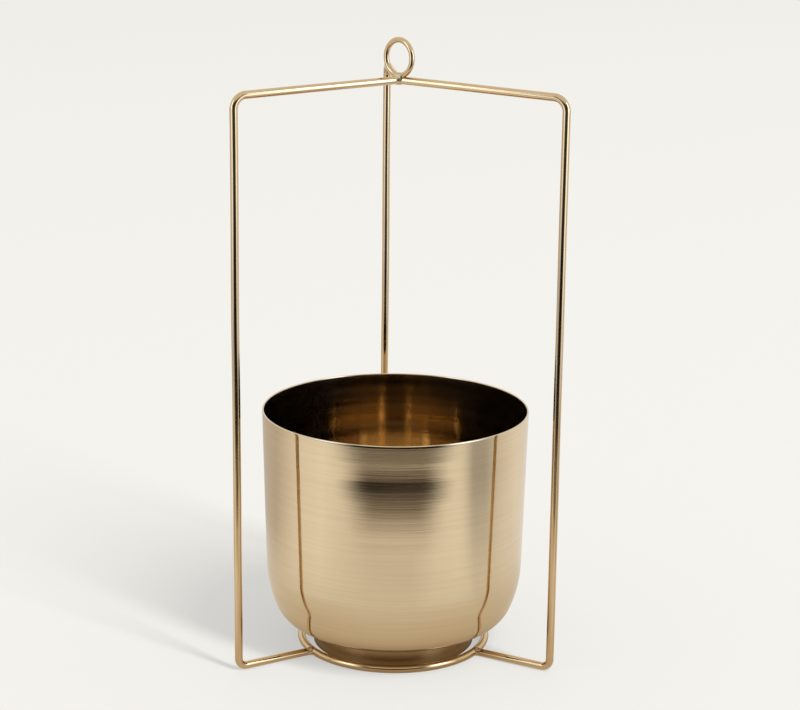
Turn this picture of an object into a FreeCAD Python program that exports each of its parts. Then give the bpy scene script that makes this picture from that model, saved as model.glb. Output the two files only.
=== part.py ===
"""Brass planter pot standing loose in a three-legged bent-wire frame with a hanging eye.

All lengths are in millimetres and all angles in degrees. +Z is up. The origin is on
the floor, at the centre of the pot's foot, which is also the frame's axis. The front
of the object faces -Y: two legs stand at the front, left and right, and one behind.
"""
import FreeCAD, Part
import math
import os

# Pot: one spun sheet-metal vessel with a plain cut rim
POT_RIM_DIAMETER = 173.0
POT_HEIGHT = 159.0
POT_WALL = 1.2
WALL_TAPER = 1.4            # the wall leans inwards this much on its way down
BELLY_RADIUS = 76.0         # gentle curve that turns the wall in
BELLY_SWEEP = 21.6          # turn of that curve
HEEL_RADIUS = 20.5          # tighter curve into the flat underside

# Foot: a strip of the same sheet rolled into a hoop and brazed under the pot
FOOT_HEIGHT = 15.0
FOOT_WALL = 1.2
FOOT_INSET = 6.0            # from the rim of the flat underside in to the foot

# Frame: bent round wire
WIRE_DIAMETER = 5.0
FRAME_HEIGHT = 368.0        # centre line of the upright's top corner
CROWN_RISE = 3.4            # the arms climb this much from the corners to the crown
UPRIGHT_CLEARANCE = 26.0    # from the pot's rim out to each upright
RING_CLEARANCE = 5.5        # from the pot's foot out to the base ring
TOP_BEND_RADIUS = 8.5       # centre line of the corner under each arm
FOOT_BEND_RADIUS = 5.5      # centre line of the corner at the floor
LEG_AZIMUTHS = {"leg_left": 210.0, "leg_right": 330.0, "leg_rear": 93.0}
ARM_END_GAP = 0.1           # between neighbouring arm ends under the crown weld

# Hanging eye: a ring of thinner wire, upright on the crown
EYE_WIRE_DIAMETER = 3.5
EYE_RADIUS = 11.05          # centre line
EYE_AZIMUTH = -45.0         # direction of the eye's own plane
EYE_SINK = 1.4              # depth that the eye is pressed into the hot arms

# Weld metal: round beads over the joints of the wires
CROWN_WELD_COVER = 1.2      # depth of metal over the arms' wire
CROWN_WELD_LIFT = 1.3       # the bead sits up towards the eye
RING_WELD_COVER = 0.8       # depth of metal over the legs' wire
RING_WELD_LIFT = 0.9        # the beads are laid from above, clear of the floor

# What follows from the sizes above
WIRE_RADIUS = WIRE_DIAMETER / 2
EYE_WIRE_RADIUS = EYE_WIRE_DIAMETER / 2
CROWN_WELD_RADIUS = WIRE_RADIUS + CROWN_WELD_COVER
RING_WELD_RADIUS = WIRE_RADIUS + RING_WELD_COVER
POT_RIM_RADIUS = POT_RIM_DIAMETER / 2
LEG_CIRCLE_RADIUS = POT_RIM_RADIUS + UPRIGHT_CLEARANCE + WIRE_RADIUS
CROWN_HEIGHT = FRAME_HEIGHT + CROWN_RISE
EYE_CENTRE_HEIGHT = CROWN_HEIGHT + WIRE_RADIUS + EYE_WIRE_RADIUS - EYE_SINK + EYE_RADIUS

UP = FreeCAD.Vector(0, 0, 1)
AXIS_POINT = FreeCAD.Vector(0, 0, 0)


def in_plane(radius, height):
    """A point of a lathe profile, drawn in the XZ plane."""
    return FreeCAD.Vector(radius, 0, height)


def turned(azimuth, radius, height):
    """A point at an azimuth, a distance from the axis and a height."""
    angle = math.radians(azimuth)
    return FreeCAD.Vector(radius * math.cos(angle), radius * math.sin(angle), height)


def turn_in(centre, radius, lean):
    """The point of an arc where the profile leans inwards by `lean` on its way down."""
    angle = math.radians(lean)
    return in_plane(centre.x + radius * math.cos(angle), centre.z - radius * math.sin(angle))


def vessel_side(skin):
    """The pot's side from the rim down to its flat bottom, `skin` inside the outer face.

    The side is a straight tapered wall, the belly arc and the heel arc, each tangent
    to the next. Returns the edges and the two end points.
    """
    belly = BELLY_RADIUS - skin
    heel = HEEL_RADIUS - skin
    lean = math.radians(WALL_TAPER)
    belly_end = WALL_TAPER + BELLY_SWEEP
    heel_end = 90.0
    steep = math.radians(belly_end)

    heel_top = HEEL_RADIUS * (1 - math.sin(steep))
    belly_drop = BELLY_RADIUS * (math.sin(steep) - math.sin(lean))
    wall_end = FOOT_HEIGHT + heel_top + belly_drop
    rim_height = POT_HEIGHT - POT_WALL / 2
    wall_end_radius = POT_RIM_RADIUS - (rim_height - wall_end) * math.tan(lean)

    belly_centre = in_plane(wall_end_radius - BELLY_RADIUS * math.cos(lean),
                            wall_end + BELLY_RADIUS * math.sin(lean))
    offset = BELLY_RADIUS - HEEL_RADIUS
    heel_centre = in_plane(belly_centre.x + offset * math.cos(steep),
                           belly_centre.z - offset * math.sin(steep))

    rim = in_plane(POT_RIM_RADIUS - skin / math.cos(lean), rim_height)
    wall_foot = turn_in(belly_centre, belly, WALL_TAPER)
    belly_middle = turn_in(belly_centre, belly, (WALL_TAPER + belly_end) / 2)
    belly_foot = turn_in(belly_centre, belly, belly_end)
    heel_middle = turn_in(heel_centre, heel, (belly_end + heel_end) / 2)
    heel_foot = turn_in(heel_centre, heel, heel_end)
    edges = [
        Part.LineSegment(rim, wall_foot).toShape(),
        Part.Arc(wall_foot, belly_middle, belly_foot).toShape(),
        Part.Arc(belly_foot, heel_middle, heel_foot).toShape(),
    ]
    return edges, rim, heel_foot


def underside_radius():
    """Radius of the flat disc that the pot's heel leaves underneath."""
    return vessel_side(0.0)[2].x


FOOT_RADIUS = underside_radius() - FOOT_INSET
BASE_RING_RADIUS = FOOT_RADIUS + RING_CLEARANCE + WIRE_RADIUS


def make_pot():
    """The spun vessel: an even wall, a flat bottom and a rim with a rounded edge."""
    outer, outer_rim, outer_foot = vessel_side(0.0)
    inner, inner_rim, inner_foot = vessel_side(POT_WALL)
    rim_top = (outer_rim + inner_rim) / 2 + UP * (POT_WALL / 2)
    outer_centre = in_plane(0, outer_foot.z)
    inner_centre = in_plane(0, inner_foot.z)
    closing = [
        Part.Arc(outer_rim, rim_top, inner_rim).toShape(),
        Part.LineSegment(inner_foot, inner_centre).toShape(),
        Part.LineSegment(inner_centre, outer_centre).toShape(),
        Part.LineSegment(outer_centre, outer_foot).toShape(),
    ]
    profile = Part.Face(Part.Wire(Part.__sortEdges__(outer + inner + closing)))
    return profile.revolve(AXIS_POINT, UP, 360)


def make_foot_ring():
    """The rolled hoop that carries the pot, from the floor up to the underside."""
    hoop = Part.makeCylinder(FOOT_RADIUS, FOOT_HEIGHT)
    return hoop.cut(Part.makeCylinder(FOOT_RADIUS - FOOT_WALL, FOOT_HEIGHT))


def bend(before, corner, after, radius):
    """The start, middle and end of a round bend that replaces a corner of a wire's path."""
    back = (before - corner).normalize()
    onward = (after - corner).normalize()
    half_angle = back.getAngle(onward) / 2
    inward = (back + onward).normalize()
    reach = radius / math.tan(half_angle)
    depth = radius / math.sin(half_angle) - radius
    return corner + back * reach, corner + inward * depth, corner + onward * reach


def smallest_leg_angle():
    """The smallest angle between two neighbouring legs."""
    azimuths = sorted(LEG_AZIMUTHS.values())
    following = azimuths[1:] + [azimuths[0] + 360]
    return min(far - near for near, far in zip(azimuths, following))


def make_leg(azimuth, base_ring):
    """One bent wire: the arm from the crown, the upright, and the arm to the base ring."""
    half_gap = math.radians(smallest_leg_angle() / 2)
    arm_start = WIRE_RADIUS / math.tan(half_gap) + ARM_END_GAP
    start = turned(azimuth, arm_start, CROWN_HEIGHT)
    top_corner = turned(azimuth, LEG_CIRCLE_RADIUS, FRAME_HEIGHT)
    low_corner = turned(azimuth, LEG_CIRCLE_RADIUS, WIRE_RADIUS)
    end = turned(azimuth, BASE_RING_RADIUS, WIRE_RADIUS)

    top_bend = bend(start, top_corner, low_corner, TOP_BEND_RADIUS)
    low_bend = bend(top_corner, low_corner, end, FOOT_BEND_RADIUS)
    path = Part.Wire([
        Part.LineSegment(start, top_bend[0]).toShape(),
        Part.Arc(*top_bend).toShape(),
        Part.LineSegment(top_bend[2], low_bend[0]).toShape(),
        Part.Arc(*low_bend).toShape(),
        Part.LineSegment(low_bend[2], end).toShape(),
    ])
    section = Part.Face(Part.Wire(Part.makeCircle(WIRE_RADIUS, start, top_bend[0] - start)))
    # the inner end is coped, so that it sits on the round of the base ring
    return path.makePipe(section).cut(base_ring)


def make_base_ring():
    """The wire hoop on the floor that the pot's foot stands in."""
    return Part.makeTorus(BASE_RING_RADIUS, WIRE_RADIUS, FreeCAD.Vector(0, 0, WIRE_RADIUS))


def make_hanging_eye(legs):
    """The upright wire ring on the crown, notched where the arms hold it."""
    centre = FreeCAD.Vector(0, 0, EYE_CENTRE_HEIGHT)
    through = turned(EYE_AZIMUTH + 90, 1, 0)
    return Part.makeTorus(EYE_RADIUS, EYE_WIRE_RADIUS, centre, through).cut(legs)


def make_crown_weld(legs, eye):
    """The bead that joins the three arms and the eye."""
    centre = FreeCAD.Vector(0, 0, CROWN_HEIGHT + CROWN_WELD_LIFT)
    return Part.makeSphere(CROWN_WELD_RADIUS, centre).cut(legs + [eye])


def make_ring_welds(legs, base_ring):
    """The three beads over the joints of the legs with the base ring."""
    beads = []
    for azimuth in LEG_AZIMUTHS.values():
        centre = turned(azimuth, BASE_RING_RADIUS + WIRE_RADIUS, WIRE_RADIUS + RING_WELD_LIFT)
        beads.append(Part.makeSphere(RING_WELD_RADIUS, centre).cut(legs + [base_ring]))
    return Part.makeCompound([bead.Solids[0] for bead in beads])


def make_parts():
    """Every separate piece of the object, by name."""
    base_ring = make_base_ring()
    parts = {name: make_leg(azimuth, base_ring) for name, azimuth in LEG_AZIMUTHS.items()}
    legs = list(parts.values())
    eye = make_hanging_eye(legs)
    parts["base_ring"] = base_ring
    parts["hanging_eye"] = eye
    parts["crown_weld"] = make_crown_weld(legs, eye)
    parts["ring_welds"] = make_ring_welds(legs, base_ring)
    parts["pot"] = make_pot()
    parts["foot_ring"] = make_foot_ring()
    return parts


os.makedirs("parts", exist_ok=True)
for name, shape in make_parts().items():
    shape.exportStep(f"parts/{name}.step")
    box = shape.BoundBox
    print(f"{name}: {len(shape.Solids)} solid(s), valid {shape.isValid()}, "
          f"volume {shape.Volume:.1f} mm3, z {box.ZMin:.2f} to {box.ZMax:.2f}")
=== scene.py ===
"""Looks of the brass planter pot in its wire frame: satin pot, polished wires, plain studio.

All lengths are in metres and all angles in degrees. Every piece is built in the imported
part's own frame: +Z up, the front towards -Y, the origin on the floor under the pot.
"""
import math

import bmesh
import bpy
from mathutils import Matrix, Vector, noise


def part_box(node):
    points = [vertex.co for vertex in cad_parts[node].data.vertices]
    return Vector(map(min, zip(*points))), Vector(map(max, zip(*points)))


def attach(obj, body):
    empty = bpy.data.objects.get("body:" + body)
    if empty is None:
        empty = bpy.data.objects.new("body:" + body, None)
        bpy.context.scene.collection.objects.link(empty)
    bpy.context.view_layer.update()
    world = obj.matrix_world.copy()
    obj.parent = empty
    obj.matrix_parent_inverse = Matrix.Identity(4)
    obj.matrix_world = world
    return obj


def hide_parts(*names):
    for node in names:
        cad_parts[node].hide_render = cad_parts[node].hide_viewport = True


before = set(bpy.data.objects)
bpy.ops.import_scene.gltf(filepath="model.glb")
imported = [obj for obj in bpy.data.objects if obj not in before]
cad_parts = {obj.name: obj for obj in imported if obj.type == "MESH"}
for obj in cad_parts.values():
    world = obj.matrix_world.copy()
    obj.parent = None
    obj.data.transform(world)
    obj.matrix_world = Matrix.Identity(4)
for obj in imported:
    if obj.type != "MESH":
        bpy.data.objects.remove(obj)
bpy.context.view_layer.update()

# What the part's own boxes say
POT_LOW, POT_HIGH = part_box("pot")
FOOT_LOW, FOOT_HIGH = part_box("foot_ring")
HOOP_LOW, HOOP_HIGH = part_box("base_ring")
EYE_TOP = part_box("hanging_eye")[1].z

# Pot and foot, as in the part
POT_RIM_RADIUS = POT_HIGH.x
POT_WALL = 0.0012
WALL_TAPER = 1.4
BELLY_RADIUS = 0.076
BELLY_SWEEP = 21.6
HEEL_RADIUS = 0.0205
FOOT_RADIUS = FOOT_HIGH.x
FOOT_WALL = 0.0012

# Frame, as in the part
WIRE_RADIUS = (HOOP_HIGH.z - HOOP_LOW.z) / 2
HOOP_RADIUS = HOOP_HIGH.x - WIRE_RADIUS
LEG_AZIMUTHS = {"left": 210.0, "right": 330.0, "rear": 93.0}
LEG_RADIUS = 0.115
CROWN_HEIGHT = 0.3714
CORNER_HEIGHT = 0.368
TOP_BEND_RADIUS = 0.0085
FOOT_BEND_RADIUS = 0.0055
ARM_START = 0.0016
EYE_RADIUS = 0.01105
EYE_WIRE_RADIUS = 0.00175
EYE_AZIMUTH = -45.0
EYE_CENTRE = Vector((0, 0, EYE_TOP - EYE_RADIUS - EYE_WIRE_RADIUS))

# How finely the pieces are divided
LATHE_SEGMENTS = 360
PROFILE_STEP = 0.0010
DISC_STEP = 0.004
LIP_STEPS = 12
WIRE_SEGMENTS = 32
EYE_WIRE_SEGMENTS = 28
WIRE_STEP = 0.002
TOP_BEND_STEPS = 24
FOOT_BEND_STEPS = 20
HOOP_STEPS = 240
EYE_STEPS = 120
BEAD_DETAIL = 5
POLE_RADIUS = 1e-7

# Marks of the spinner's roller on the pot: pitch, depth, phase
SPIN_MARKS = ((0.0061, 0.0000015, 0.4), (0.0113, 0.000004, 1.9), (0.0247, 0.000008, 4.4))

# Foot: the softened lower edges and the brazing fillet at the top
FOOT_EDGE = 0.0003
FOOT_EDGE_STEPS = 4
FOOT_FILLET = 0.0009
FOOT_FILLET_STEPS = 6
FOOT_SIDE_STEPS = 12

# Hand-bent wires: how far they wander, how quickly, and over how many points the wander
# starts; and the slight unevenness of their thickness
WANDER = 0.00028
WANDER_SCALE = 14
WANDER_UPWARDS = 0.3
WANDER_FADE = 12
WANDER_SEED = 11
WANDER_OFFSETS = (0.0, 31.7, 67.3)
WANDER_PLACE = (7.1, 3.3, 1.7)
THICKNESS_CHANGE = 0.00001
THICKNESS_SCALE = 160
THICKNESS_PLACE = 3.7
THICKNESS_ROUND = 0.6
HOOP_SEED = 5
EYE_SEED = 8

# Weld beads: the blends between the wires, how far a bead reaches from its centre, how
# deep it covers the wires, and how far its centre lies above them
ARM_BLEND = 0.0014
EYE_BLEND = 0.0026
HOOP_BLEND = 0.0026
CROWN_REACH = 0.0080
CROWN_COVER = 0.00018
CROWN_LIFT = 0.0008
CROWN_SEED = 3.1
HOOP_REACH = 0.0062
HOOP_COVER = 0.00012
HOOP_LIFT = 0.0006
HOOP_JOINT_OUT = 0.9
BEAD_RIPPLE = 0.00016
BEAD_RIPPLE_SCALE = 620
BEAD_SINK = 0.0045
BEAD_SHOULDER = 0.45
HOOP_BEAD_SEEDS = (20, 25, 30)
# The search for a bead's surface: how far past its reach, in how many steps, and how often
# the last step is halved
MARCH_PAST = 1.3
MARCH_STEPS = 40
HALVINGS = 14


def turned(azimuth, radius, height):
    """A point at an azimuth, a distance from the axis and a height."""
    angle = math.radians(azimuth)
    return Vector((radius * math.cos(angle), radius * math.sin(angle), height))


# ---------------------------------------------------------------- mesh helpers

def new_object(name, vertices, faces):
    """A mesh object in the scene."""
    mesh = bpy.data.meshes.new(name)
    mesh.from_pydata([tuple(v) for v in vertices], [], faces)
    made = bpy.data.objects.new(name, mesh)
    bpy.context.scene.collection.objects.link(made)
    return made


def new_piece(name, vertices, faces, material, body, node, uvs=None):
    """A piece of the object that rides on a body and stands for a CAD node."""
    piece = new_object(name, vertices, faces)
    mesh = piece.data
    if uvs is not None:
        layer = mesh.uv_layers.new(name="run")
        for loop in mesh.loops:
            layer.data[loop.index].uv = uvs[loop.vertex_index]
    mesh.materials.append(material)
    mesh.shade_smooth()
    mesh.update()
    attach(piece, body)
    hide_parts(node)


def lathe(profile, segments, closed):
    """Rings of vertices round the Z axis. Points of the profile at radius 0 become poles."""
    vertices, faces, rings = [], [], []
    for radius, height in profile:
        if radius < POLE_RADIUS:
            rings.append([len(vertices)])
            vertices.append((0, 0, height))
            continue
        ring = []
        for k in range(segments):
            angle = 2 * math.pi * k / segments
            ring.append(len(vertices))
            vertices.append((radius * math.cos(angle), radius * math.sin(angle), height))
        rings.append(ring)
    pairs = list(zip(rings, rings[1:]))
    if closed:
        pairs.append((rings[-1], rings[0]))
    for a, b in pairs:
        for k in range(segments):
            n = (k + 1) % segments
            if len(a) == 1:
                faces.append((a[0], b[n], b[k]))
            elif len(b) == 1:
                faces.append((a[k], a[n], b[0]))
            else:
                faces.append((a[k], a[n], b[n], b[k]))
    return vertices, faces


def sweep(path, radius, segments, closed=False):
    """A round tube along a path of points, with UVs that run along and round the wire."""
    count = len(path)
    tangents = []
    for i in range(count):
        if closed:
            ahead, behind = path[(i + 1) % count], path[i - 1]
        else:
            ahead, behind = path[min(i + 1, count - 1)], path[max(i - 1, 0)]
        tangents.append((ahead - behind).normalized())
    side = tangents[0].orthogonal().normalized()
    vertices, uvs, along = [], [], 0.0
    for i, point in enumerate(path):
        if i:
            along += (point - path[i - 1]).length
        side = (side - tangents[i] * side.dot(tangents[i])).normalized()
        other = tangents[i].cross(side)
        for k in range(segments):
            angle = 2 * math.pi * k / segments
            out = side * math.cos(angle) + other * math.sin(angle)
            vertices.append(point + out * radius(along, out))
            uvs.append((along, abs(2 * k / segments - 1)))
    faces = []
    for i in range(count if closed else count - 1):
        a, b = i * segments, (i + 1) % count * segments
        for k in range(segments):
            n = (k + 1) % segments
            faces.append((a + k, a + n, b + n, b + k))
    if not closed:
        faces.append(tuple(reversed(range(segments))))
        faces.append(tuple((count - 1) * segments + k for k in range(segments)))
    return vertices, faces, uvs


# ---------------------------------------------------------------- pot and foot

def arc_points(centre, radius, start, end, step):
    """Points of a profile arc; the angle is the lean below the horizontal, outwards."""
    count = max(2, math.ceil(radius * math.radians(abs(end - start)) / step))
    for i in range(count + 1):
        angle = math.radians(start + (end - start) * i / count)
        yield centre[0] + radius * math.cos(angle), centre[1] - radius * math.sin(angle)


def quarter(steps):
    """The sines and cosines of a quarter turn."""
    for i in range(steps + 1):
        angle = math.radians(90 * i / steps)
        yield math.sin(angle), math.cos(angle)


def spin_marks(height):
    """How far the spinner's roller left the wall proud or low at this height."""
    return sum(depth * math.sin(2 * math.pi * height / pitch + phase)
               for pitch, depth, phase in SPIN_MARKS)


def side_profile(skin, step):
    """The pot's side from the rim down to the flat bottom, `skin` inside the outer face."""
    belly_end = WALL_TAPER + BELLY_SWEEP
    lean = math.radians(WALL_TAPER)
    steep = math.radians(belly_end)
    rim_height = POT_HIGH.z - POT_WALL / 2
    wall_end = (POT_LOW.z + HEEL_RADIUS * (1 - math.sin(steep))
                + BELLY_RADIUS * (math.sin(steep) - math.sin(lean)))
    wall_end_radius = POT_RIM_RADIUS - (rim_height - wall_end) * math.tan(lean)
    belly = (wall_end_radius - BELLY_RADIUS * math.cos(lean),
             wall_end + BELLY_RADIUS * math.sin(lean))
    offset = BELLY_RADIUS - HEEL_RADIUS
    heel = (belly[0] + offset * math.cos(steep), belly[1] - offset * math.sin(steep))

    start = (POT_RIM_RADIUS - skin / math.cos(lean), rim_height)
    foot = next(arc_points(belly, BELLY_RADIUS - skin, WALL_TAPER, WALL_TAPER, step))
    count = math.ceil((start[1] - foot[1]) / step)
    points = []
    for i in range(count):
        share = i / count
        points.append((start[0] + (foot[0] - start[0]) * share,
                       start[1] + (foot[1] - start[1]) * share))
    points += list(arc_points(belly, BELLY_RADIUS - skin, WALL_TAPER, belly_end, step))[:-1]
    points += list(arc_points(heel, HEEL_RADIUS - skin, belly_end, 90.0, step / 2))
    return [(r + spin_marks(z), z) for r, z in points]


def disc_profile(radius, height):
    """A flat disc from its rim in to the axis."""
    count = math.ceil(radius / DISC_STEP)
    return [(radius * (1 - i / count), height) for i in range(1, count + 1)]


def pot_profile():
    """The vessel's outline: bottom, outer side, rounded lip, inner side and inner floor."""
    outer = side_profile(0.0, PROFILE_STEP)
    inner = side_profile(POT_WALL, PROFILE_STEP)
    middle = (outer[0][0] + inner[0][0]) / 2
    half = (outer[0][0] - inner[0][0]) / 2
    lip = []
    for i in range(1, LIP_STEPS):
        angle = math.pi * i / LIP_STEPS
        lip.append((middle - half * math.cos(angle), inner[0][1] + half * math.sin(angle)))
    bottom = disc_profile(outer[-1][0], POT_LOW.z)
    well = disc_profile(inner[-1][0], POT_LOW.z + POT_WALL)
    return bottom[::-1] + outer[::-1] + lip[::-1] + inner + well


def make_pot(material):
    """The spun vessel."""
    vertices, faces = lathe(pot_profile(), LATHE_SEGMENTS, closed=False)
    new_piece("pot_shell", vertices, faces, material, "pot", "pot")


def make_foot(material):
    """The rolled hoop under the pot: softened lower edges and a brazing fillet at the top."""
    outer, inner = FOOT_RADIUS, FOOT_RADIUS - FOOT_WALL
    low, high = FOOT_LOW.z, FOOT_HIGH.z
    edge, fillet = FOOT_EDGE, FOOT_FILLET
    profile = [(inner + edge - edge * cos, low + edge - edge * sin)
               for sin, cos in quarter(FOOT_EDGE_STEPS)]
    profile += [(outer - edge + edge * sin, low + edge - edge * cos)
                for sin, cos in quarter(FOOT_EDGE_STEPS)]
    for i in range(1, FOOT_SIDE_STEPS):
        height = low + edge + (high - fillet - low - edge) * i / FOOT_SIDE_STEPS
        profile.append((outer, height))
    arc = list(quarter(FOOT_FILLET_STEPS))
    profile += [(outer + fillet - fillet * cos, high - fillet + fillet * sin) for sin, cos in arc]
    profile += [(inner - fillet + fillet * cos, high - fillet + fillet * sin)
                for sin, cos in reversed(arc)]
    vertices, faces = lathe(profile, LATHE_SEGMENTS, closed=True)
    new_piece("pot_foot", vertices, faces, material, "pot", "foot_ring")


# ---------------------------------------------------------------- wires

def run_points(start, end):
    """Points of a straight run, without its end."""
    count = max(1, math.ceil((end - start).length / WIRE_STEP))
    return [start.lerp(end, i / count) for i in range(count)]


def bend_points(before, corner, after, radius, count):
    """The points of a round bend that replaces a corner."""
    back, onward = (before - corner).normalized(), (after - corner).normalized()
    half = back.angle(onward) / 2
    inward = (back + onward).normalized()
    centre = corner + inward * (radius / math.sin(half))
    first = corner + back * (radius / math.tan(half)) - centre
    last = corner + onward * (radius / math.tan(half)) - centre
    turn = first.angle(last)
    normal = first.cross(last).normalized()
    return [centre + Matrix.Rotation(turn * i / count, 3, normal) @ first
            for i in range(count + 1)]


def leg_path(azimuth):
    """The centre line of a leg: the arm, the upright and the arm to the hoop."""
    start = turned(azimuth, ARM_START, CROWN_HEIGHT)
    top = turned(azimuth, LEG_RADIUS, CORNER_HEIGHT)
    low = turned(azimuth, LEG_RADIUS, WIRE_RADIUS)
    end = turned(azimuth, HOOP_RADIUS, WIRE_RADIUS)
    first = bend_points(start, top, low, TOP_BEND_RADIUS, TOP_BEND_STEPS)
    second = bend_points(top, low, end, FOOT_BEND_RADIUS, FOOT_BEND_STEPS)
    return (run_points(start, first[0]) + first + run_points(first[-1], second[0])[1:]
            + second + run_points(second[-1], end)[1:] + [end])


def drift(place):
    """Three independent smooth values at a place, the same on every run."""
    return Vector([noise.noise(place + Vector((offset, 0, 0))) for offset in WANDER_OFFSETS])


def hand_bent(path, seed):
    """The path with the slight wander of a wire that was bent by hand; its ends stay put."""
    wandered = []
    for i, point in enumerate(path):
        fade = min(1.0, i / WANDER_FADE, (len(path) - 1 - i) / WANDER_FADE)
        own_place = Vector((seed * WANDER_PLACE[0], WANDER_PLACE[1], seed * WANDER_PLACE[2]))
        shift = drift(point * WANDER_SCALE + own_place)
        shift.z = 0 if point.z < 2 * WIRE_RADIUS else shift.z * WANDER_UPWARDS
        wandered.append(point + shift * WANDER * fade)
    return wandered


def drawn_radius(radius, seed):
    """The wire's radius along its run, as uneven as drawn wire is."""
    def at(along, out):
        place = Vector((along * THICKNESS_SCALE, seed * THICKNESS_PLACE, out.z * THICKNESS_ROUND))
        return radius - THICKNESS_CHANGE + THICKNESS_CHANGE * noise.noise(place)
    return at


def make_legs(material):
    """The three bent wires."""
    for seed, (name, azimuth) in enumerate(LEG_AZIMUTHS.items()):
        path = hand_bent(leg_path(azimuth), seed + WANDER_SEED)
        vertices, faces, uvs = sweep(path, drawn_radius(WIRE_RADIUS, seed), WIRE_SEGMENTS)
        new_piece(f"wire_leg_{name}", vertices, faces, material, "frame",
                  f"leg_{name}", uvs)


def make_hoop(material):
    """The wire hoop on the floor."""
    path = [turned(360 * i / HOOP_STEPS, HOOP_RADIUS, WIRE_RADIUS) for i in range(HOOP_STEPS)]
    vertices, faces, uvs = sweep(path, drawn_radius(WIRE_RADIUS, HOOP_SEED), WIRE_SEGMENTS,
                                 closed=True)
    new_piece("wire_hoop", vertices, faces, material, "frame", "base_ring", uvs)


def make_eye(material):
    """The upright ring of thinner wire on the crown."""
    path = []
    for i in range(EYE_STEPS):
        angle = math.radians(360 * i / EYE_STEPS)
        path.append(EYE_CENTRE + turned(EYE_AZIMUTH, EYE_RADIUS * math.sin(angle), 0)
                    - Vector((0, 0, EYE_RADIUS * math.cos(angle))))
    vertices, faces, uvs = sweep(path, drawn_radius(EYE_WIRE_RADIUS, EYE_SEED),
                                 EYE_WIRE_SEGMENTS, closed=True)
    new_piece("wire_eye", vertices, faces, material, "frame", "hanging_eye", uvs)


# ---------------------------------------------------------------- weld metal

def smooth_min(a, b, blend):
    """The smaller of two distances, rounded off where they are nearly equal."""
    share = max(blend - abs(a - b), 0) / blend
    return min(a, b) - share * share * blend / 4


def smooth_step(low, high, value):
    """0 below `low` and 1 above `high`, with a soft rise between."""
    share = min(1.0, max(0.0, (value - low) / (high - low)))
    return share * share * (3 - 2 * share)


def rod_distance(point, start, end, radius):
    """Distance from a point to a straight wire."""
    along = end - start
    share = min(1.0, max(0.0, (point - start).dot(along) / along.length_squared))
    return (point - start - along * share).length - radius


def ring_distance(point, centre, axis, ring_radius, radius):
    """Distance from a point to a wire bent into a ring."""
    offset = point - centre
    height = offset.dot(axis)
    flat = (offset - axis * height).length - ring_radius
    return math.hypot(flat, height) - radius


def weld_surface(centre, distance, reach, cover, seed):
    """A star-shaped bead round a joint: proud of the wires near it, and gone under their
    skin at `reach`."""
    shape = bmesh.new()
    bmesh.ops.create_icosphere(shape, subdivisions=BEAD_DETAIL, radius=1.0)
    directions = [v.co.normalized() for v in shape.verts]
    faces = [tuple(v.index for v in f.verts) for f in shape.faces]
    shape.free()

    def field(point):
        away = (point - centre).length
        ripple = BEAD_RIPPLE * noise.noise(point * BEAD_RIPPLE_SCALE + Vector((seed, 0, 0)))
        sunk = -cover + BEAD_SINK * smooth_step(reach * BEAD_SHOULDER, reach, away)
        return distance(point) + sunk + ripple

    placed = []
    for direction in directions:
        low, high, at = 0.0, reach * MARCH_PAST, 0.0
        step = high / MARCH_STEPS
        while at < high and field(centre + direction * at) < 0:
            low = at
            at += step
        high = min(at, high)
        for _ in range(HALVINGS):
            middle = (low + high) / 2
            if field(centre + direction * middle) < 0:
                low = middle
            else:
                high = middle
        placed.append(centre + direction * low)
    return placed, faces


def make_crown_weld(material):
    """The bead that joins the three arms and the eye."""
    hub = Vector((0, 0, CROWN_HEIGHT))
    centre = Vector((0, 0, CROWN_HEIGHT + CROWN_LIFT))
    corners = [turned(azimuth, LEG_RADIUS, CORNER_HEIGHT) for azimuth in LEG_AZIMUTHS.values()]
    eye_axis = turned(EYE_AZIMUTH + 90, 1, 0)

    def distance(point):
        arms = rod_distance(point, hub, corners[0], WIRE_RADIUS)
        for corner in corners[1:]:
            arms = smooth_min(arms, rod_distance(point, hub, corner, WIRE_RADIUS), ARM_BLEND)
        eye = ring_distance(point, EYE_CENTRE, eye_axis, EYE_RADIUS, EYE_WIRE_RADIUS)
        return smooth_min(arms, eye, EYE_BLEND)

    vertices, faces = weld_surface(centre, distance, CROWN_REACH, CROWN_COVER, CROWN_SEED)
    new_piece("crown_bead", vertices, faces, material, "frame", "crown_weld")


def make_hoop_welds(material):
    """The three beads where the legs meet the hoop; they don't go below the floor."""
    hoop_centre = Vector((0, 0, WIRE_RADIUS))
    up = Vector((0, 0, 1))
    vertices, faces = [], []
    for seed, azimuth in zip(HOOP_BEAD_SEEDS, LEG_AZIMUTHS.values()):
        joint = turned(azimuth, HOOP_RADIUS + WIRE_RADIUS * HOOP_JOINT_OUT,
                       WIRE_RADIUS + HOOP_LIFT)
        end = turned(azimuth, HOOP_RADIUS, WIRE_RADIUS)
        far = turned(azimuth, LEG_RADIUS, WIRE_RADIUS)

        def distance(point):
            hoop = ring_distance(point, hoop_centre, up, HOOP_RADIUS, WIRE_RADIUS)
            return smooth_min(hoop, rod_distance(point, end, far, WIRE_RADIUS), HOOP_BLEND)

        bead, bead_faces = weld_surface(joint, distance, HOOP_REACH, HOOP_COVER, seed)
        first = len(vertices)
        vertices += [Vector((v.x, v.y, max(v.z, 0.0))) for v in bead]
        faces += [tuple(first + index for index in face) for face in bead_faces]
    new_piece("hoop_beads", vertices, faces, material, "frame", "ring_welds")


# ---------------------------------------------------------------- materials

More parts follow.
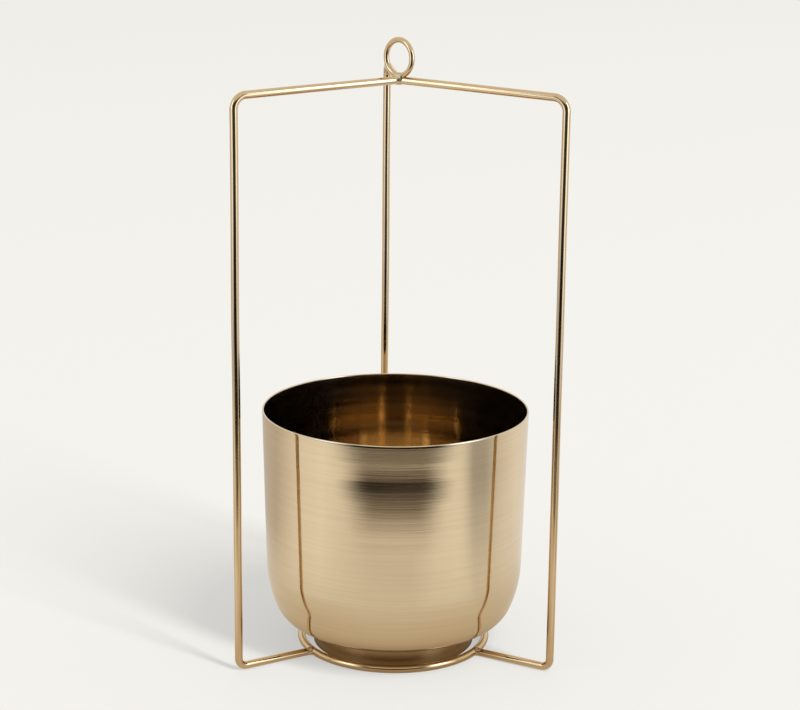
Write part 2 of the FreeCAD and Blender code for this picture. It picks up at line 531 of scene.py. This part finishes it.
# Brushed metal: noise cells per metre down the profile and round the axis
BRUSH_FINE = (560.0, 11.0)
BRUSH_BROAD = (150.0, 4.0)
BRUSH_CLOUD_SCALE = 22.0
BRUSH_CLOUD_SHARE = 0.35
BRUSH_GRAIN_SCALE = 1400.0
BRUSH_DEPTH = 0.000016
GRAIN_DEPTH = 0.0000015
BRUSH_ANISOTROPY = 0.8
ROUND_THE_AXIS = 0.25

# Drawn wire: noise cells along and round it, and the lacquer over it
DRAWN_CELLS = (35.0, 9.0, 1.0)
DRAWN_DEPTH = 0.000004
SPECK_SCALE = 900.0
SPECK_DEPTH = 0.000001
WIRE_CLOUD_SCALE = 60.0
WIRE_CLOUD_SHARE = 0.4
LACQUER_WEIGHT = 0.25
LACQUER_ROUGHNESS = 0.05

# Weld beads
RIPPLE_SCALE = 700.0
RIPPLE_DEPTH = 0.00005
RIPPLE_ROUGHNESS = 0.12
HEAT_SCALE = 260.0

# How much smoother and rougher than its own roughness a metal is in places
SMOOTHER = 0.02
ROUGHER = 0.03


class Nodes:
    """A short way to write a node material."""

    def __init__(self, name):
        self.material = bpy.data.materials.new(name)
        self.material.use_nodes = True
        self.tree = self.material.node_tree
        self.tree.nodes.clear()
        self.shader = self.add("ShaderNodeBsdfPrincipled")
        out = self.add("ShaderNodeOutputMaterial")
        self.link(self.shader.outputs[0], out.inputs["Surface"])

    def add(self, kind, **settings):
        node = self.tree.nodes.new(kind)
        for key, value in settings.items():
            setattr(node, key, value)
        return node

    def link(self, source, target):
        self.tree.links.new(source, target)

    def math(self, operation, a, b=0.0):
        node = self.add("ShaderNodeMath", operation=operation)
        for socket, value in zip(node.inputs, (a, b)):
            if isinstance(value, (int, float)):
                socket.default_value = value
            else:
                self.link(value, socket)
        return node.outputs[0]

    def noise(self, vector, scale, detail=2.0, roughness=0.5):
        node = self.add("ShaderNodeTexNoise")
        node.inputs["Scale"].default_value = scale
        node.inputs["Detail"].default_value = detail
        node.inputs["Roughness"].default_value = roughness
        self.link(vector, node.inputs["Vector"])
        return node.outputs["Fac"]

    def remap(self, value, low, high):
        """A noise value, which is mostly between 0.3 and 0.7, spread from low to high."""
        node = self.add("ShaderNodeMapRange")
        node.inputs["From Min"].default_value = 0.3
        node.inputs["From Max"].default_value = 0.7
        node.inputs["To Min"].default_value = low
        node.inputs["To Max"].default_value = high
        self.link(value, node.inputs["Value"])
        return node.outputs["Result"]

    def mix(self, share, first, second):
        """A colour between two, each a tuple or a socket."""
        node = self.add("ShaderNodeMix", data_type="RGBA")
        self.link(share, node.inputs["Factor"])
        for socket, value in ((node.inputs[6], first), (node.inputs[7], second)):
            if isinstance(value, tuple):
                socket.default_value = value + (1.0,)
            else:
                self.link(value, socket)
        return node.outputs[2]

    def bump(self, height, distance, normal=None):
        node = self.add("ShaderNodeBump")
        node.inputs["Strength"].default_value = 1.0
        node.inputs["Distance"].default_value = distance
        self.link(height, node.inputs["Height"])
        if normal is not None:
            self.link(normal, node.inputs["Normal"])
        return node.outputs["Normal"]

    def object_position(self):
        return self.add("ShaderNodeTexCoord").outputs["Object"]


def turned_metal_coordinates(nodes, fine, around):
    """Coordinates that run quickly down the vessel's profile and slowly round it."""
    split = nodes.add("ShaderNodeSeparateXYZ")
    nodes.link(nodes.object_position(), split.inputs[0])
    x, y, z = split.outputs
    squares = nodes.math("ADD", nodes.math("MULTIPLY", x, x), nodes.math("MULTIPLY", y, y))
    down = nodes.math("ADD", nodes.math("SQRT", squares), z)
    join = nodes.add("ShaderNodeCombineXYZ")
    for socket, value, scale in zip(join.inputs, (x, y, down), (around, around, fine)):
        nodes.link(nodes.math("MULTIPLY", value, scale), socket)
    return join.outputs[0]


def brushed_brass(name, light, dark, tarnish, roughness):
    """Satin brass with fine brushing that runs round the vessel."""
    nodes = Nodes(name)
    shader = nodes.shader
    fine = nodes.noise(turned_metal_coordinates(nodes, *BRUSH_FINE), 1.0, 3.0, 0.65)
    broad = nodes.noise(turned_metal_coordinates(nodes, *BRUSH_BROAD), 1.0)
    cloud = nodes.noise(nodes.object_position(), BRUSH_CLOUD_SCALE, 3.0, 0.55)
    grain = nodes.noise(nodes.object_position(), BRUSH_GRAIN_SCALE, 2.0, 0.6)
    tone = nodes.mix(nodes.remap(fine, 0.15, 0.85), dark, light)
    tone = nodes.mix(nodes.remap(cloud, 0.0, BRUSH_CLOUD_SHARE), tone, tarnish)
    nodes.link(tone, shader.inputs["Base Color"])
    nodes.link(nodes.remap(broad, roughness - SMOOTHER, roughness + ROUGHER),
               shader.inputs["Roughness"])
    shader.inputs["Metallic"].default_value = 1.0
    shader.inputs["Anisotropic"].default_value = BRUSH_ANISOTROPY
    shader.inputs["Anisotropic Rotation"].default_value = ROUND_THE_AXIS
    tangent = nodes.add("ShaderNodeTangent", direction_type="RADIAL", axis="Z")
    nodes.link(tangent.outputs[0], shader.inputs["Tangent"])
    normal = nodes.bump(fine, BRUSH_DEPTH)
    nodes.link(nodes.bump(grain, GRAIN_DEPTH, normal), shader.inputs["Normal"])
    return nodes.material


def drawn_brass(name, light, dark, roughness):
    """Polished, lacquered wire with faint draw lines along its run."""
    nodes = Nodes(name)
    shader = nodes.shader
    stretch = nodes.add("ShaderNodeMapping")
    stretch.inputs["Scale"].default_value = DRAWN_CELLS
    nodes.link(nodes.add("ShaderNodeUVMap", uv_map="run").outputs[0], stretch.inputs["Vector"])
    lines = nodes.noise(stretch.outputs[0], 1.0, 3.0, 0.6)
    specks = nodes.noise(nodes.object_position(), SPECK_SCALE)
    cloud = nodes.noise(nodes.object_position(), WIRE_CLOUD_SCALE)
    tone = nodes.mix(nodes.remap(lines, 0.0, 1.0), dark, light)
    tone = nodes.mix(nodes.remap(cloud, 0.0, WIRE_CLOUD_SHARE), tone, dark)
    nodes.link(tone, shader.inputs["Base Color"])
    nodes.link(nodes.remap(cloud, roughness - SMOOTHER, roughness + ROUGHER),
               shader.inputs["Roughness"])
    shader.inputs["Metallic"].default_value = 1.0
    shader.inputs["Coat Weight"].default_value = LACQUER_WEIGHT
    shader.inputs["Coat Roughness"].default_value = LACQUER_ROUGHNESS
    normal = nodes.bump(lines, DRAWN_DEPTH)
    nodes.link(nodes.bump(specks, SPECK_DEPTH, normal), shader.inputs["Normal"])
    return nodes.material


def weld_brass(name, light, dark, roughness):
    """Plated weld bead, rippled by the torch."""
    nodes = Nodes(name)
    shader = nodes.shader
    ripples = nodes.noise(nodes.object_position(), RIPPLE_SCALE)
    heat = nodes.noise(nodes.object_position(), HEAT_SCALE, 1.0)
    tone = nodes.mix(nodes.remap(heat, 0.0, 1.0), dark, light)
    nodes.link(tone, shader.inputs["Base Color"])
    nodes.link(nodes.remap(ripples, roughness, roughness + RIPPLE_ROUGHNESS),
               shader.inputs["Roughness"])
    shader.inputs["Metallic"].default_value = 1.0
    nodes.link(nodes.bump(ripples, RIPPLE_DEPTH), shader.inputs["Normal"])
    return nodes.material


# ---------------------------------------------------------------- studio

# Floor: its paper takes the shadow, and its own faint glow keeps the shadow light
FLOOR_HALF_SIZE = 30.0
FLOOR_PAPER = (0.21, 0.208, 0.200)
FLOOR_COLOUR = (0.905, 0.896, 0.863)
FLOOR_GLOW = 0.558

# Key light and sky
KEY_POWER = 16600.0
KEY_COLOUR = (1.0, 0.985, 0.95)
KEY_AZIMUTH = -44.0
KEY_ELEVATION = 42.0
KEY_DISTANCE = 30.0
KEY_WIDTH = 4.2
KEY_HEIGHT = 30.0
SKY = 0.87
SKY_COLOUR = (1.0, 0.992, 0.965)

# Camera: place, direction and lens
CAMERA_PLACE = (-0.02216, -1.27577, 0.52514)
CAMERA_YAW = -1.1087
CAMERA_PITCH = -14.534
CAMERA_ROLL = 0.627
CAMERA_SENSOR = 36.0
CAMERA_LENS = 91.96
CAMERA_REACH = 40.0

# Colour of the painted floor reflection that only the metal sees, close to the pot: painted
# shade, warmed with painted light from the brass: radius, colour
NEAR_PAINTED_SHADE = ((0.050, (0.09, 0.065, 0.04)), (0.060, (0.37, 0.29, 0.20)),
              (0.080, (0.54, 0.455, 0.345)), (0.100, (0.65, 0.575, 0.465)),
              (0.135, (0.71, 0.65, 0.565)), (0.22, (0.80, 0.76, 0.70)))
NEAR_FADE = (0.13, 0.31)
# The same farther out, darker in front, with the pot's painted shadow at the back left: azimuth,
# brightness
ROUND_TONES = ((-180, 0.72), (-150, 0.58), (-115, 0.60), (-85, 0.90), (-60, 0.97), (-36, 0.84),
               (-18, 0.76), (12, 0.75), (30, 0.90), (50, 0.93), (80, 0.95), (125, 0.90),
               (180, 0.72))
# In front, painted shade where a table ends and a dark room begins: radius, brightness
FRONT_START = 0.29
FRONT_TONES = ((0.30, 0.80), (0.308, 0.72), (0.318, 0.80), (0.333, 0.76), (0.339, 0.48),
               (0.353, 0.44), (0.37, 0.40), (0.385, 0.30), (0.398, 0.10), (0.405, 0.01),
               (0.42, 0.005), (0.437, 0.005), (0.446, 0.12), (0.465, 0.16), (0.472, 0.34),
               (0.48, 0.55), (0.502, 0.50), (0.512, 0.08), (0.52, 0.012))
# How far round the pot that front goes: radius, azimuth; and its soft edge in degrees
FRONT_SPREAD = ((0.30, 26), (0.345, 33), (0.36, 28), (0.395, 31), (0.412, 40), (0.430, 41),
                (0.446, 34), (0.50, 34), (0.515, 44), (0.62, 50))
FRONT_FADE = (15, 11)
# A shaded strip of the floor at the right: how deep it is, and how it fades round the pot
SHADE_DEPTH = ((0.12, 0.0), (0.20, 0.11), (0.26, 0.20), (0.31, 0.31), (0.37, 0.38), (0.42, 0.50))
SHADE_ROUND = ((49, 0.0), (55, 0.2), (60, 0.62), (64, 1.0), (76, 1.0), (84, 0.7), (92, 0.4),
               (100, 0.25), (108, 0.12), (118, 0.0))
# Rings and columns of that floor, which lies just above the real one
FLOOR_RINGS = ([0.0, 0.04, 0.05, 0.055, 0.06, 0.07, 0.08, 0.09, 0.10, 0.12, 0.135, 0.16, 0.19,
                0.22, 0.25, 0.28] + [0.29 + 0.004 * i for i in range(60)]
               + [0.55, 0.58, 0.62, 0.7, 0.9, 1.3, 2.5, 12.0])
FLOOR_COLUMNS = 120
FLOOR_LIFT = 0.0002

# The dark room behind the camera, a painted dark reflection seen only in the metal: brightness
# from its middle out to the sides
ROOM_TONES = ((0.0, 0.045), (0.42, 0.05), (0.62, 0.14), (0.80, 0.42), (1.0, 0.87))
ROOM_TINT = (1.0, 0.93, 0.82)
ROOM_HALF_WIDTH = 1.6
ROOM_AWAY = 1.5
ROOM_HEIGHT = 1.4
ROOM_TOP_FADE = (0.95, 1.4)
ROOM_EDGE = 0.13

# The white cards, glowing sheets that paint highlights seen only in the metal: name, side,
# brightness, and how much of it is left at each height
CARDS = (("painted_highlight_left", -1, 2.1,
          ((0.03, 0.22), (0.08, 0.32), (0.12, 0.50), (0.18, 0.72), (0.38, 1.0), (0.5, 1.4))),
         ("painted_highlight_right", 1, 3.2,
          ((0.0, 0.28), (0.08, 0.42), (0.14, 0.55), (0.25, 0.72), (0.38, 1.0), (0.5, 1.4))))
# A cool tint that paints the highlights whiter
CARD_TINT = (0.82, 0.93, 1.15)
CARD_FRONT = (0.42, -0.65)
CARD_BACK = (0.75, -0.14)
CARD_HEIGHT = 0.9
# Across a card, from 0 at its front edge to 1 at its back edge: where its surroundings
# have turned from room to sky, where its own brightness has risen, and where it fades
CARD_SKY_FROM = 0.5
CARD_RISEN = 0.4
CARD_FADE = (0.7, 1)
# Above these heights its front part is left dark, and its brightness rises farther back
CARD_CUT_HEIGHTS = (0.38, 0.5)
CARD_CUT = 0.34
CARD_RISEN_LATER = 0.12
SHEET_DIVISIONS = 24

# How much less green and blue than red the floor's tones have, lit and in the dark
GREEN_TINT = (0.985, 0.17)
BLUE_TINT = (0.96, 0.33)


def between(table, value):
    """Straight interpolation in a short table of (value, result) rows."""
    if value <= table[0][0]:
        return table[0][1]
    for (low, first), (high, last) in zip(table, table[1:]):
        if value <= high:
            share = (value - low) / (high - low)
            if isinstance(first, tuple):
                return tuple(a + (b - a) * share for a, b in zip(first, last))
            return first + (last - first) * share
    return table[-1][1]


def make_floor():
    """Pale paper, lit softly from below as well, so that the shadows stay light."""
    nodes = Nodes("floor_paper")
    shader = nodes.shader
    shader.inputs["Base Color"].default_value = FLOOR_PAPER + (1.0,)
    shader.inputs["Roughness"].default_value = 1.0
    shader.inputs["Specular IOR Level"].default_value = 0.0
    shader.inputs["Emission Color"].default_value = FLOOR_COLOUR + (1.0,)
    shader.inputs["Emission Strength"].default_value = FLOOR_GLOW
    size = FLOOR_HALF_SIZE
    corners = [(-size, -size, 0), (size, -size, 0), (size, size, 0), (-size, size, 0)]
    floor = new_object("floor", corners, [(0, 1, 2, 3)])
    floor.data.materials.append(nodes.material)
    floor.visible_glossy = False


def glowing_tones(name):
    """A material that glows with the tone kept at each vertex."""
    material = bpy.data.materials.new(name)
    material.use_nodes = True
    tree = material.node_tree
    tree.nodes.clear()
    tone = tree.nodes.new("ShaderNodeAttribute")
    tone.attribute_name = "tone"
    glow = tree.nodes.new("ShaderNodeEmission")
    glow.inputs["Strength"].default_value = 1.0
    out = tree.nodes.new("ShaderNodeOutputMaterial")
    tree.links.new(tone.outputs["Color"], glow.inputs["Color"])
    tree.links.new(glow.outputs[0], out.inputs["Surface"])
    return material


def toned_object(name, vertices, faces, tones):
    """A surface that glows with a tone of its own at every vertex, seen in the metal only: a
    painted reflection of things outside the picture."""
    sheet = new_object(name, vertices, faces)
    layer = sheet.data.color_attributes.new("tone", "FLOAT_COLOR", "POINT")
    for i, tone in enumerate(tones):
        layer.data[i].color = (*tone, 1.0)
    sheet.data.materials.append(glowing_tones(f"{name}_tones"))
    sheet.visible_camera = False
    sheet.visible_diffuse = False
    sheet.visible_shadow = False
    sheet.visible_transmission = False
    sheet.visible_volume_scatter = False


def warm_tone(tone):
    """A grey of this brightness, warmer the darker it is."""
    green, blue = (lit - darker * (1 - tone) for lit, darker in (GREEN_TINT, BLUE_TINT))
    return tone, tone * green, tone * blue


def floor_tone(radius, azimuth):
    """Colour of the painted floor reflection, with its painted shade and shadow; the azimuth is 0
    at the front and grows to the right.
    """
    away = Vector(warm_tone(between(ROUND_TONES, azimuth)))
    near = Vector(between(NEAR_PAINTED_SHADE, radius))
    tone = near.lerp(away, smooth_step(*NEAR_FADE, radius))
    tone *= 1 - between(SHADE_DEPTH, radius) * between(SHADE_ROUND, azimuth)
    if radius > FRONT_START:
        spread = between(FRONT_SPREAD, radius)
        share = 1 - smooth_step(spread - FRONT_FADE[0], spread + FRONT_FADE[1], abs(azimuth))
        tone = tone.lerp(Vector(warm_tone(between(FRONT_TONES, radius))), share)
    return tone


def paint_floor_reflection():
    """A painted reflection of the floor as the metal sees it, with painted shade near the pot and
    the dark room in front of the table.
    """
    columns = FLOOR_COLUMNS
    vertices, tones, faces = [], [], []
    for radius in FLOOR_RINGS:
        for k in range(columns):
            azimuth = 360 * k / columns
            vertices.append(turned(azimuth - 90, radius, FLOOR_LIFT))
            tones.append(floor_tone(radius, azimuth if azimuth <= 180 else azimuth - 360))
    for i in range(len(FLOOR_RINGS) - 1):
        a, b = i * columns, (i + 1) * columns
        for k in range(columns):
            n = (k + 1) % columns
            faces.append((a + k, a + n, b + n, b + k))
    toned_object("painted_floor_reflection", vertices, faces, tones)


def toned_sheet(name, left, right, height, tone):
    """An upright glowing sheet that is seen in the metal only, a painted reflection with soft
    edges of its own.
    """
    low_left, low_right = Vector((*left, 0)), Vector((*right, 0))
    count = SHEET_DIVISIONS
    vertices, tones, faces = [], [], []
    for j in range(count + 1):
        for i in range(count + 1):
            foot = low_left.lerp(low_right, i / count)
            vertices.append((foot.x, foot.y, height * j / count))
            tones.append(tone(i / count, height * j / count))
    for j in range(count):
        for i in range(count):
            at = j * (count + 1) + i
            faces.append((at, at + 1, at + count + 2, at + count + 1))
    toned_object(name, vertices, faces, tones)


def room_tone(across, height):
    """Colour of the dark room's painted reflection, which fades into the sky at its sides and
    top.
    """
    tone = between(ROOM_TONES, abs(across - 0.5) * 2)
    tone += (SKY - tone) * smooth_step(*ROOM_TOP_FADE, height)
    return tuple(part * tone for part in ROOM_TINT)


def card_tone(strength, lows, across, height):
    """Colour of a white card's painted highlight, from its front edge beside the dark room to its
    back edge beside the sky. High up, its front part is left dark."""
    around = ROOM_EDGE + (SKY - ROOM_EDGE) * smooth_step(0, CARD_SKY_FROM, across)
    high_up = smooth_step(*CARD_CUT_HEIGHTS, height)
    risen = smooth_step(CARD_CUT * high_up, CARD_RISEN + CARD_RISEN_LATER * high_up, across)
    edge = risen * (1 - smooth_step(*CARD_FADE, across))
    level = around + (strength * between(lows, height) - around) * edge
    return tuple(level * part for part in CARD_TINT)


def make_cards():
    """Two white cards beside the camera and the dark room behind it: glowing sheets seen only in
    the metal, which paint its highlights and dark reflections.
    """
    toned_sheet("painted_dark_room", (-ROOM_HALF_WIDTH, -ROOM_AWAY), (ROOM_HALF_WIDTH, -ROOM_AWAY),
                ROOM_HEIGHT, room_tone)
    for name, side, strength, lows in CARDS:
        toned_sheet(name, (side * CARD_FRONT[0], CARD_FRONT[1]),
                    (side * CARD_BACK[0], CARD_BACK[1]), CARD_HEIGHT,
                    lambda across, height: card_tone(strength, lows, across, height))


def make_key():
    """A tall, narrow softbox far off at the front right."""
    data = bpy.data.lights.new("key", "AREA")
    data.shape = "RECTANGLE"
    data.size = KEY_WIDTH
    data.size_y = KEY_HEIGHT
    data.energy = KEY_POWER
    data.color = KEY_COLOUR
    light = bpy.data.objects.new("key", data)
    light.visible_glossy = False
    light.visible_camera = False
    bpy.context.scene.collection.objects.link(light)
    elevation = math.radians(KEY_ELEVATION)
    towards = turned(KEY_AZIMUTH, math.cos(elevation), math.sin(elevation))
    light.location = towards * KEY_DISTANCE
    light.rotation_euler = towards.to_track_quat("Z", "Y").to_euler()


def make_sky():
    """An even, pale sky."""
    world = bpy.data.worlds.new("studio")
    bpy.context.scene.world = world
    world.use_nodes = True
    tree = world.node_tree
    tree.nodes.clear()
    room = tree.nodes.new("ShaderNodeBackground")
    room.inputs["Color"].default_value = SKY_COLOUR + (1.0,)
    room.inputs["Strength"].default_value = SKY
    out = tree.nodes.new("ShaderNodeOutputWorld")
    tree.links.new(room.outputs[0], out.inputs["Surface"])


def make_camera():
    """The camera, in front of the pot and looking slightly down."""
    data = bpy.data.cameras.new("camera")
    data.sensor_width = CAMERA_SENSOR
    data.lens = CAMERA_LENS
    data.clip_end = CAMERA_REACH
    camera = bpy.data.objects.new("camera", data)
    bpy.context.scene.collection.objects.link(camera)
    turn = (Matrix.Rotation(math.radians(CAMERA_YAW), 4, "Z")
            @ Matrix.Rotation(math.radians(90 + CAMERA_PITCH), 4, "X")
            @ Matrix.Rotation(math.radians(CAMERA_ROLL), 4, "Z"))
    camera.matrix_world = Matrix.Translation(CAMERA_PLACE) @ turn
    bpy.context.scene.camera = camera


# ---------------------------------------------------------------- everything

pot_brass = brushed_brass("pot_brass", light=(0.79, 0.645, 0.43), dark=(0.71, 0.57, 0.37),
                          tarnish=(0.70, 0.55, 0.37), roughness=0.068)
# The foot's brass is darker and browner than the pot's: painted shade for its place under the
# pot.
shaded_foot_brass = brushed_brass("shaded_foot_brass", light=(0.50, 0.35, 0.18), dark=(0.44, 0.30, 0.15),
                           tarnish=(0.40, 0.27, 0.13), roughness=0.28)
wire_brass = drawn_brass("wire_brass", light=(0.72, 0.535, 0.31), dark=(0.61, 0.43, 0.225),
                         roughness=0.14)
bead_brass = weld_brass("bead_brass", light=(0.84, 0.71, 0.50), dark=(0.68, 0.52, 0.31),
                        roughness=0.30)

make_pot(pot_brass)
make_foot(shaded_foot_brass)
make_legs(wire_brass)
make_hoop(wire_brass)
make_eye(wire_brass)
make_crown_weld(bead_brass)
make_hoop_welds(bead_brass)

make_floor()
paint_floor_reflection()
make_cards()
make_key()
make_sky()
make_camera()
bpy.context.scene.view_settings.view_transform = "Standard"
bpy.context.scene.cycles.caustics_reflective = False
